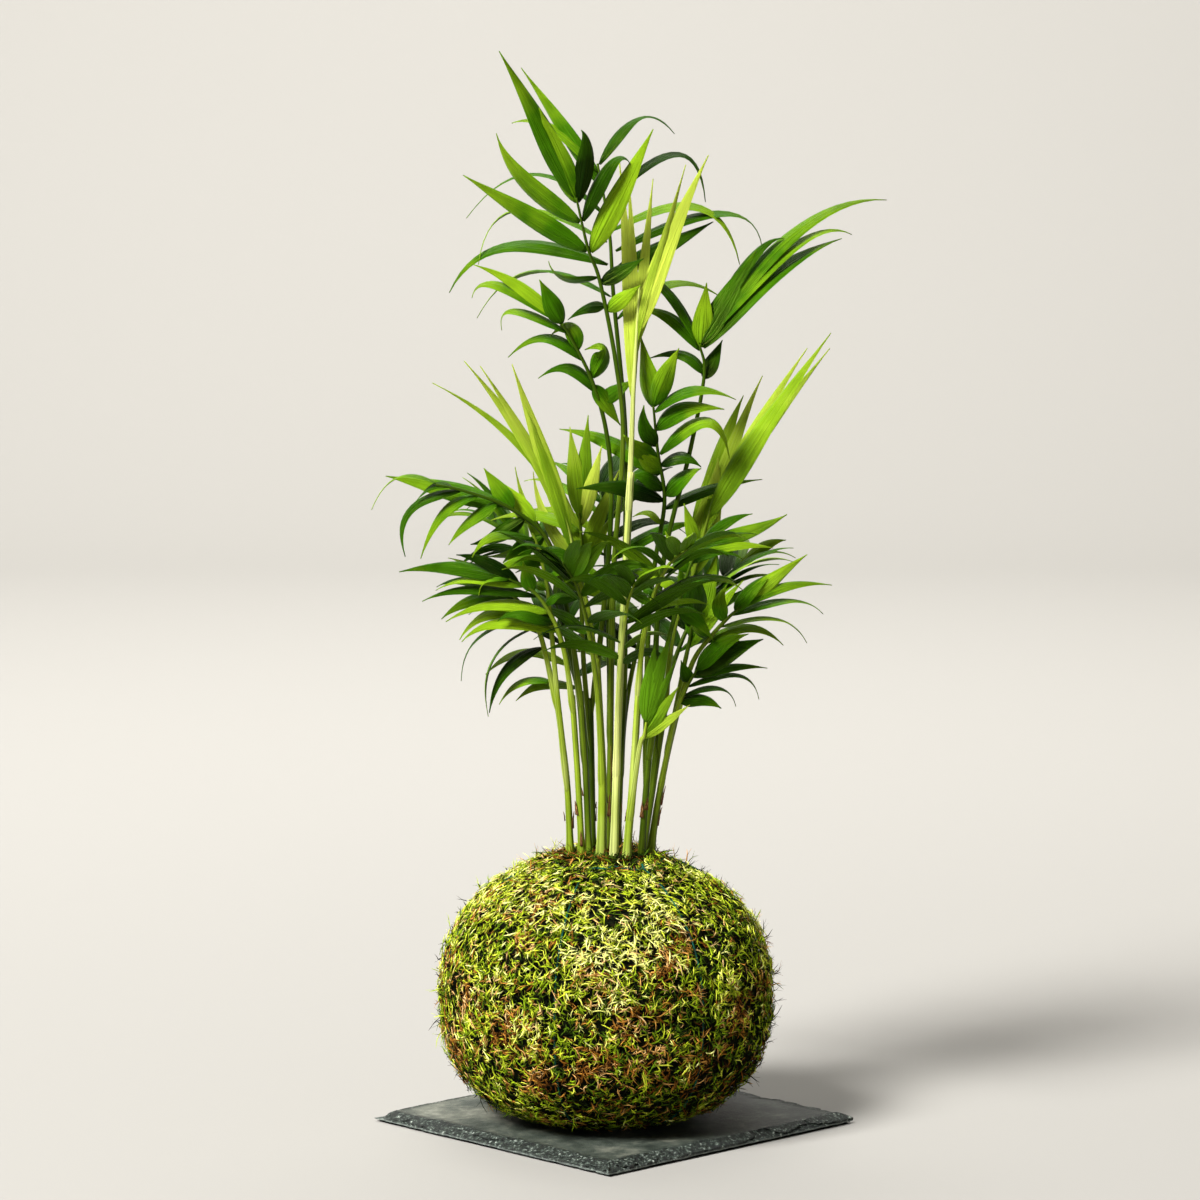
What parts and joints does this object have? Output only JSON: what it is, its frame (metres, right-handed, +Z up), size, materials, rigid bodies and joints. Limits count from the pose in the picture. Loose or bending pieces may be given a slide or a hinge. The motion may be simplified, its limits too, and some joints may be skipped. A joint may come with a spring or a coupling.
{
  "type": "kokedama moss ball plant",
  "caption": "Kokedama: feather-leaved palm seedlings growing from a moss-wrapped, thread-bound soil ball that rests on a square slate tile.",
  "frame": {"origin": "middle of the slate tile's underside, on the surface it stands on", "axes": "+Z up; -Y towards the viewer of the picture; +X to the viewer's right"},
  "size_m": [0.2251, 0.211, 0.468],
  "materials": {
    "slate": "riven, matte, with dusty pale patches and chipped edges",
    "moss": "dense curly feather moss, matte",
    "thread": "thin twisted dark green thread",
    "soil": "damp crumbly peat and clay, matte",
    "cane": "smooth pale green stem with fine lengthwise stripes, satin",
    "leaf": "living leaf, satin with fine parallel veins",
    "young_leaf": "new leaf, satin and slightly translucent yellow green"
  },
  "bodies": {
    "root": {"slate_tile": "slate", "moss_cover": "moss", "binding_thread": "thread", "root_ball": "soil", "cane_01": "cane", "cane_02": "cane", "cane_03": "cane", "cane_04": "cane", "cane_05": "cane", "cane_06": "cane", "cane_07": "cane", "cane_08": "cane", "cane_09": "cane", "cane_10": "cane", "cane_11": "cane", "cane_12": "cane", "frond_tall_front": "leaf", "frond_tall_back": "leaf", "frond_centre_spear": "young_leaf", "frond_right_high": "leaf", "frond_right_mid": "leaf", "frond_left_mid": "leaf", "frond_left_spear": "young_leaf", "frond_left_far": "leaf", "frond_left_low": "leaf", "frond_right_spear": "young_leaf", "frond_left_upright": "young_leaf", "frond_right_upright": "leaf", "frond_front_small": "young_leaf", "frond_left_wide": "leaf", "frond_left_front": "leaf", "frond_right_wide": "leaf", "frond_right_low": "leaf", "frond_right_front": "leaf", "frond_left_back": "leaf", "frond_front_left": "leaf", "frond_front_middle": "leaf", "frond_front_right": "leaf", "frond_right_back": "leaf", "frond_back_right": "leaf", "frond_back_middle": "leaf", "frond_back_left": "leaf"}
  },
  "joints": []
}
